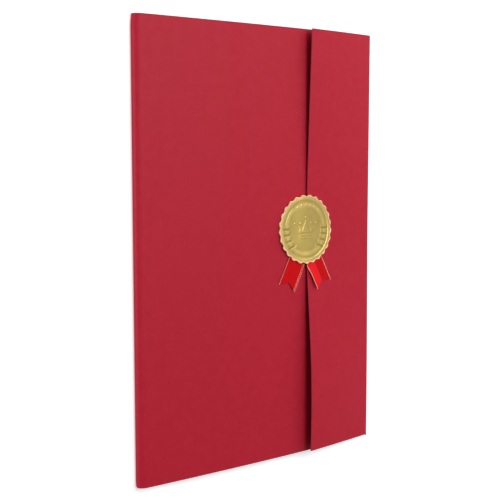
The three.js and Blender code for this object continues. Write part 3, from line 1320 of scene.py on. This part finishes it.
@dataclass
class RibbonTail:
    """One tail of the award ribbon: a notched satin strip with stitched edges.

    A stitch row is placed by its share of the half width, from -1 at the inner edge to 1 at the outer.
    """

    shape: CardShape
    side: Side
    satin: bpy.types.Material
    thread: bpy.types.Material
    degrees: float
    trim: float
    width: float = 16.0
    thickness: float = 0.32
    reach: float = 45.3
    notch: float = 4.3
    centre_offset: float = -3.45
    parting: float = 0.8
    across_steps: int = 40
    along_pitch: float = 0.4
    free_from: float = 25.0
    free_over: float = 7.0
    crease: float = 0.0
    crease_softness: float = 0.3
    inner_lift: float = 0.0
    # The share of painted sheen on the part that slopes up.
    painted_sheen_share: float = 0.0
    hidden: float = 3.0
    stitch_rows: tuple = ()
    stitch_steps: int = 60
    cord: float = 0.02

    def surface(self, x: np.ndarray, y: np.ndarray) -> np.ndarray:
        """Height of the card under the tail.

        Args:
            x: places across the certificate.
            y: places up it.

        Returns:
            The height at each.
        """
        return self.shape.flap_at(x, y) if self.side is Side.RIGHT else self.shape.front_at(x)

    def ends(self, across: np.ndarray) -> tuple[np.ndarray, np.ndarray]:
        """Where the tail starts under the seal and where it ends, along its own direction.

        Args:
            across: places across it, from its middle, positive outwards.

        Returns:
            The two distances from the seal's centre.
        """
        turn = math.radians(self.degrees)
        outward = across + self.centre_offset
        from_parting = (self.parting - outward * math.cos(turn)) / math.sin(turn)
        from_tuck = (outward * math.sin(turn) - self.shape.ribbon_tuck) / math.cos(turn)
        share = 2 * across / self.width
        end = self.reach - self.notch * (1 - np.abs(share)) - self.trim * np.clip(-share, 0, None)
        return np.maximum(from_parting, from_tuck), end

    def lifted(self, across: np.ndarray, reach: np.ndarray) -> np.ndarray:
        """How far the tail stands off the card: from a crease along it, its inner part slopes up.

        Args:
            across: places across it, from its middle, positive outwards.
            reach: distances from the seal's centre along it.

        Returns:
            The rise at each.
        """
        free = smooth_rise(reach - self.free_from, self.free_over)
        past = self.crease - across
        slope = (past + np.hypot(past, self.crease_softness)) / 2
        return free * self.inner_lift * slope / (self.crease + self.width / 2)

    def painted_sheen(self, across: np.ndarray, reach: np.ndarray) -> np.ndarray:
        """How much painted sheen the satin takes: on the part that slopes up from the crease, in place of the
        light that part catches.

        Args:
            across: places across it, from its middle, positive outwards.
            reach: distances from the seal's centre along it.

        Returns:
            A share from 0 to 1 at each.
        """
        free = smooth_rise(reach - self.free_from + self.free_over, self.free_over)
        sloped = smooth_rise(self.crease - across + self.crease_softness, 2 * self.crease_softness)
        return free * sloped * self.painted_sheen_share

    def points(self, across: np.ndarray, reach: np.ndarray, rise: np.ndarray) -> np.ndarray:
        """Places in the certificate's frame.

        Args:
            across: places across the tail, from its middle, positive outwards.
            reach: distances from the seal's centre along it.
            rise: heights above the tail's underside.

        Returns:
            One row for each.
        """
        turn = math.radians(self.degrees)
        outward = across + self.centre_offset
        sideways = reach * math.sin(turn) + outward * math.cos(turn)
        x = self.shape.seal_x + self.side.value * sideways
        y = self.shape.seal_height + outward * math.sin(turn) - reach * math.cos(turn)
        z = self.surface(x, y) + self.shape.rest_gap + self.lifted(across, reach) + rise
        return np.stack([x, y, z], axis=-1)

    def build(self) -> bpy.types.Object:
        """The tail as one closed strip, mapped by its flat width and length.

        Returns:
            The piece.
        """
        half = self.width / 2
        across = np.linspace(-half, half, self.across_steps + 1)
        start, end = self.ends(across)
        rows = round((self.reach - start.min()) / self.along_pitch)
        share = np.linspace(0, 1, rows + 1)[:, None]
        reach = end + (start - end) * share
        wide = np.broadcast_to(across, reach.shape)
        top = self.points(wide, reach, np.full(reach.shape, self.thickness)).reshape(-1, 3)
        low = self.points(wide, reach, np.zeros(reach.shape)).reshape(-1, 3)
        flip = self.side is Side.LEFT
        size = reach.size
        skins = np.concatenate([
            grid_faces(*reach.shape, flip=flip),
            grid_faces(*reach.shape, first=size, flip=not flip),
        ])
        walls = sheet_walls(*reach.shape)
        walls = walls[:, ::-1] if flip else walls
        faces = np.concatenate([skins, walls]).tolist()
        name = "ribbon_left" if flip else "ribbon_right"
        made = mesh_object(name, np.concatenate([top, low]), faces, [self.satin])
        flat = np.stack([wide.ravel(), reach.ravel()], axis=-1) * MM
        layer = made.data.uv_layers.new(name=FLAT_MAP)
        corner = np.zeros(len(made.data.loops), np.int32)
        made.data.loops.foreach_get("vertex_index", corner)
        layer.data.foreach_set("uv", np.concatenate([flat, flat])[corner].ravel())
        # Painted sheen, carried for the satin to read.
        carry(made, PAINTED_SHEEN, np.tile(self.painted_sheen(wide, reach).ravel(), 2))
        return made

    def flat_size(self) -> tuple[tuple[float, float], float]:
        """The strip's size before it was cut, in metres, and the cut strip's area.

        Returns:
            Width and length, and the area in square metres.
        """
        across = np.linspace(-self.width / 2, self.width / 2, self.across_steps + 1)
        start, end = self.ends(across)
        area = np.trapz(end - start, across) * MM * MM
        return (self.width * MM, (self.reach - float(start.min())) * MM), float(area)

    def stitches(self, tree: bpy.types.GeometryNodeTree) -> bpy.types.Object:
        """The stitched edges: threads that follow rows along the tail.

        Args:
            tree: the node tree that turns lines into stitches.

        Returns:
            The stitches as one mesh.
        """
        points, edges = [], []
        for row in self.stitch_rows:
            across = np.array([row * self.width / 2])
            start, end = self.ends(across)
            first_reach = max(float(start[0]), self.free_from - self.hidden)
            reach = np.linspace(first_reach, float(end[0]), self.stitch_steps)
            line = self.points(np.full_like(reach, across[0]), reach, np.full_like(reach, self.thickness))
            first = len(points)
            points += (line * MM).tolist()
            edges += [(first + number, first + number + 1) for number in range(len(line) - 1)]
        name = "stitches_left" if self.side is Side.LEFT else "stitches_right"
        mesh = bpy.data.meshes.new(name + "_lines")
        mesh.from_pydata(points, edges, [])
        lines = add_object(name + "_lines", mesh)
        return StitchTree.bake(lines, tree, name, {"Thread": self.thread, "Cord": self.cord * MM})


@dataclass(frozen=True)
class StitchTree:
    """A node tree that lays a cord along lines, with a small stitch at every pitch."""

    pitch: float = 1.5
    length: float = 0.5
    width: float = 0.9
    height: float = 0.42
    ball_radius: float = 0.5
    ball_rounds: int = 2
    cord_sides: int = 8

    def build(self) -> bpy.types.GeometryNodeTree:
        """The tree, with its sizes as inputs in metres. The cord's is left to the tail.

        Returns:
            The tree.
        """
        nodes = Nodes(bpy.data.node_groups.new("edge_stitches", "GeometryNodeTree"))
        face = nodes.tree.interface
        face.new_socket("Lines", in_out="INPUT", socket_type="NodeSocketGeometry")
        sizes = {"Pitch": self.pitch, "Length": self.length, "Width": self.width, "Height": self.height}
        for name, size in sizes.items():
            socket = face.new_socket(name, in_out="INPUT", socket_type="NodeSocketFloat")
            socket.default_value = size * MM
        face.new_socket("Cord", in_out="INPUT", socket_type="NodeSocketFloat")
        face.new_socket("Thread", in_out="INPUT", socket_type="NodeSocketMaterial")
        face.new_socket("Stitches", in_out="OUTPUT", socket_type="NodeSocketGeometry")

        def geometry(kind: str, settings: dict, inputs: dict) -> bpy.types.NodeSocket:
            """Adds a Geometry node.

            Args:
                kind: the node's type, without its first words.
                settings: its own settings.
                inputs: links or values by socket name.

            Returns:
                Its first output.
            """
            return nodes.node("GeometryNode" + kind, settings, inputs).outputs[0]

        given = nodes.node("NodeGroupInput", {}, {}).outputs
        curve = geometry("MeshToCurve", {}, {"Mesh": given["Lines"]})
        points = geometry("ResampleCurve", {"mode": "LENGTH"}, {"Curve": curve, "Length": given["Pitch"]})
        ball = {"Radius": self.ball_radius, "Subdivisions": self.ball_rounds}
        lengths = {"X": given["Length"], "Y": given["Width"], "Z": given["Height"]}
        tangent = geometry("InputTangent", {}, {})
        turn = nodes.node("FunctionNodeAlignRotationToVector", {"axis": "X"}, {"Vector": tangent})
        copies = geometry("InstanceOnPoints", {}, {
            "Points": points,
            "Instance": geometry("MeshIcoSphere", {}, ball),
            "Rotation": turn.outputs[0],
            "Scale": nodes.node("ShaderNodeCombineXYZ", {}, lengths).outputs[0],
        })
        circle = {"Resolution": self.cord_sides, "Radius": given["Cord"]}
        ring = geometry("CurvePrimitiveCircle", {}, circle)
        cord = geometry("CurveToMesh", {}, {"Curve": curve, "Profile Curve": ring, "Fill Caps": True})
        both = nodes.node("GeometryNodeJoinGeometry", {}, {})
        nodes.tree.links.new(copies, both.inputs[0])
        nodes.tree.links.new(cord, both.inputs[0])
        plain = geometry("RealizeInstances", {}, {"Geometry": both.outputs[0]})
        dressed = geometry("SetMaterial", {}, {"Geometry": plain, "Material": given["Thread"]})
        nodes.node("NodeGroupOutput", {}, {"Stitches": dressed})
        return nodes.tree

    @staticmethod
    def bake(
        lines: bpy.types.Object,
        tree: bpy.types.GeometryNodeTree,
        name: str,
        inputs: dict,
    ) -> bpy.types.Object:
        """Turns lines into a plain mesh of stitches.

        Args:
            lines: the object whose edges the stitches follow.
            tree: the stitch tree.
            name: the new piece's name.
            inputs: the tree's inputs by name.

        Returns:
            The stitches.
        """
        modifier = lines.modifiers.new("Stitches", "NODES")
        modifier.node_group = tree
        sockets = {s.name: s.identifier for s in tree.interface.items_tree if s.in_out == "INPUT"}
        for socket, value in inputs.items():
            modifier[sockets[socket]] = value
        evaluated = lines.evaluated_get(bpy.context.evaluated_depsgraph_get())
        mesh = bpy.data.meshes.new_from_object(evaluated)
        lines.modifiers.remove(modifier)
        bpy.data.objects.remove(lines)
        mesh.name = name
        mesh.shade_smooth()
        return add_object(name, mesh)


@dataclass(frozen=True)
class SoftBox:
    """A soft area lamp, aimed at a point on the certificate."""

    name: str
    place: tuple[float, float, float]
    size: float
    power: float
    aim: tuple[float, float, float] = (0.0, 0.0, 0.0)
    mirrored: bool = True

    def build(self) -> None:
        """Adds the lamp."""
        light = bpy.data.lights.new(self.name, "AREA")
        light.shape = "SQUARE"
        light.size = self.size
        light.energy = self.power
        lamp = add_object(self.name, light)
        lamp.location = self.place
        lamp.visible_glossy = self.mirrored
        towards = Vector(self.aim) - Vector(self.place)
        lamp.rotation_euler = towards.to_track_quat("-Z", "Y").to_euler()


@dataclass(frozen=True)
class Studio:
    """The pale floor, the soft lamps, the white surround and the camera."""

    floor_size: float = 6.0
    floor_gap: float = 0.00005
    ambient: float = 0.12
    camera_place: tuple = (-0.4445, 0.0663, 0.5661)
    camera_yaw: float = 37.61
    camera_pitch: float = 5.46
    camera_roll: float = 0.056
    focal_pixels: float = 1013.2
    picture_pixels: float = 500.0
    sensor: float = 36.0
    clip_start: float = 0.01
    lamps: tuple = (
        SoftBox("overhead_light", (0.18, 0.42, 1.18), 0.9, 10.35),
        SoftBox("right_light", (1.0, 0.7, 0.6), 0.9, 8.5, mirrored=False),
        SoftBox("low_right_light", (1.07, -0.19, 0.5), 0.2, 1.2, mirrored=False),
        SoftBox("spine_light", (-1.5, 0.05, 0.18), 0.3, 10.0),
    )

    def floor(self) -> None:
        """Lays the floor."""
        half = self.floor_size / MM / 2
        z = -self.floor_gap / MM
        corners = np.array([[-half, -half, z], [half, -half, z], [half, half, z], [-half, half, z]])
        mesh_object("studio_floor", corners, [[0, 1, 2, 3]], [StudioWhite().build()])

    def world(self) -> None:
        """Makes the surround: white where it is seen, dimmer as light."""
        world = bpy.data.worlds.new("studio_world")
        bpy.context.scene.world = world
        world.use_nodes = True
        nodes = Nodes(world.node_tree)
        background = nodes.tree.nodes["Background"].inputs
        background["Color"].default_value = (1, 1, 1, 1)
        strength = nodes.seen().mapped(0.0, 1.0, self.ambient, 1.0)
        nodes.tree.links.new(strength.socket, background["Strength"])

    def camera(self) -> None:
        """Sets the camera where the photograph was taken from."""
        yaw, pitch, roll = (math.radians(a) for a in (self.camera_yaw, self.camera_pitch, self.camera_roll))
        ahead = Vector((math.sin(yaw) * math.cos(pitch), -math.sin(pitch), -math.cos(yaw) * math.cos(pitch)))
        level = Vector((math.cos(yaw), 0.0, math.sin(yaw)))
        down = ahead.cross(level)
        right = level * math.cos(roll) + down * math.sin(roll)
        lower = down * math.cos(roll) - level * math.sin(roll)
        data = bpy.data.cameras.new("camera")
        data.sensor_width = self.sensor
        data.lens = self.focal_pixels / self.picture_pixels * self.sensor
        data.clip_start = self.clip_start
        camera = add_object("camera", data)
        turned = Matrix((right, -lower, -ahead)).transposed()
        camera.matrix_world = Matrix.Translation(self.camera_place) @ turned.to_4x4()
        bpy.context.scene.camera = camera

    def build(self) -> None:
        """Makes the whole studio."""
        self.camera()
        self.floor()
        self.world()
        for lamp in self.lamps:
            lamp.build()
        bpy.context.scene.view_settings.view_transform = "Standard"


def dress(piece: bpy.types.Object, slot: str, *nodes: str) -> bpy.types.Object:
    """Fixes a finished piece to the certificate.

    Args:
        piece: the piece, in place.
        slot: the record's material slot; not used.
        *nodes: the solids that it stands for.

    Returns:
        The piece.
    """
    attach(piece, ROOT)
    if nodes:
        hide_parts(*nodes)
    log.info("%s: %d faces", piece.name, len(piece.data.polygons))
    return piece


def main() -> None:
    """Builds the certificate's pieces in order, then the studio."""
    logging.basicConfig(level=logging.INFO, format="%(name)s %(message)s")
    low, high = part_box("folded_card")
    shape = CardShape(width=(high.x - low.x) / MM, height=(high.y - low.y) / MM)
    card = FoldedCard(shape, PearlCard().build(), CutCard().build())
    dress(card.build(), "card", "folded_card")
    seal = GoldSeal(shape, GoldFoil().build(), SealRim().build())
    dress(seal.build(), "seal_foil", "gold_seal")
    satin, thread, tree = RibbonSatin().build(), EdgeThread().build(), StitchTree().build()
    left = RibbonTail(
        shape,
        Side.LEFT,
        satin,
        thread,
        degrees=27.2,
        trim=0.4,
        inner_lift=0.3,
        stitch_rows=(-0.98, -0.84, 0.98),
    )
    right = RibbonTail(
        shape,
        Side.RIGHT,
        satin,
        thread,
        degrees=26.8,
        trim=1.5,
        inner_lift=1.2,
        # Painted sheen on the inner half that slopes up from the crease.
        painted_sheen_share=1.0,
        stitch_rows=(-0.98, 0.98),
        cord=0.12,
    )
    for tail, node in ((left, "ribbon_tail_left"), (right, "ribbon_tail_right")):
        strip = dress(tail.build(), "ribbon_satin", node)
        stitches = dress(tail.stitches(tree), "ribbon_satin")
        flat, area = tail.flat_size()
    Studio().build()


if __name__ == "__main__":
    main()
